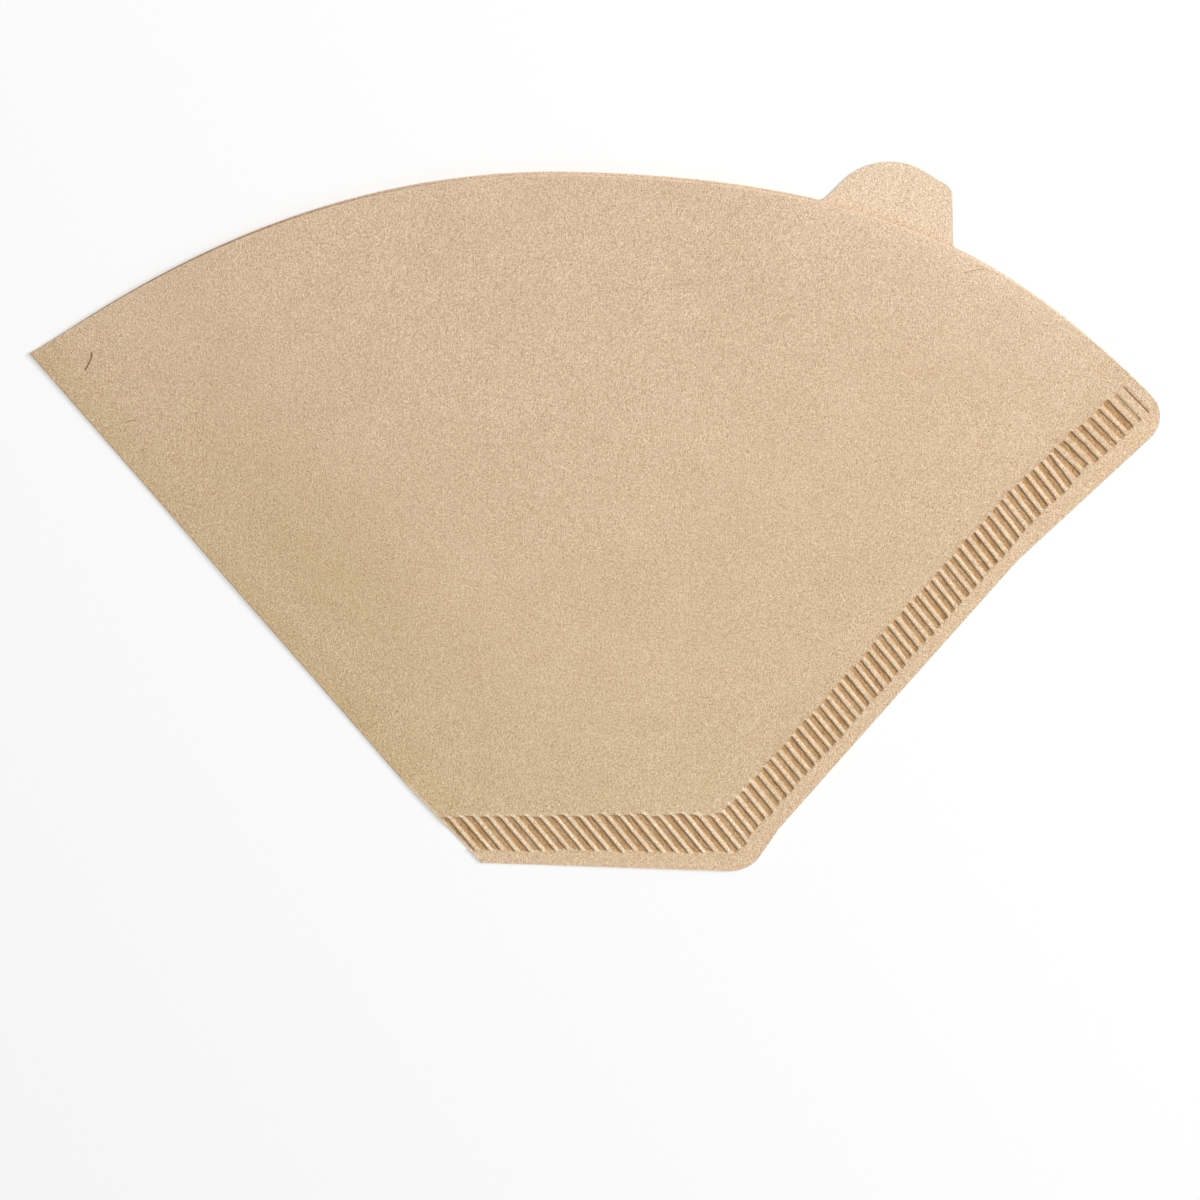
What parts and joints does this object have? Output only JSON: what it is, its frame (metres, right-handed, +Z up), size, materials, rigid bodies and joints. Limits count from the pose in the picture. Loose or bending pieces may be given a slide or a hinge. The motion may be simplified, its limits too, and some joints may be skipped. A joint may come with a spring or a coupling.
{
  "type": "paper coffee filter",
  "caption": "Cone coffee filter folded from one sheet of brown crepe paper, lying flat, with a crimped foot and side seam, a curved open rim and a rounded tab.",
  "frame": {"origin": "middle of the footprint, on the surface that the filter lies on", "axes": "+X from the fold towards the crimped side seam, +Y from the crimped foot towards the open rim, +Z up from the rear ply to the front ply"},
  "size_m": [0.1822, 0.1294, 0.0017],
  "materials": {
    "paper": "matt unbleached crepe paper with fine fibres, darker in the pressed crimp grooves"
  },
  "bodies": {
    "root": {"filter": "paper"}
  },
  "joints": []
}
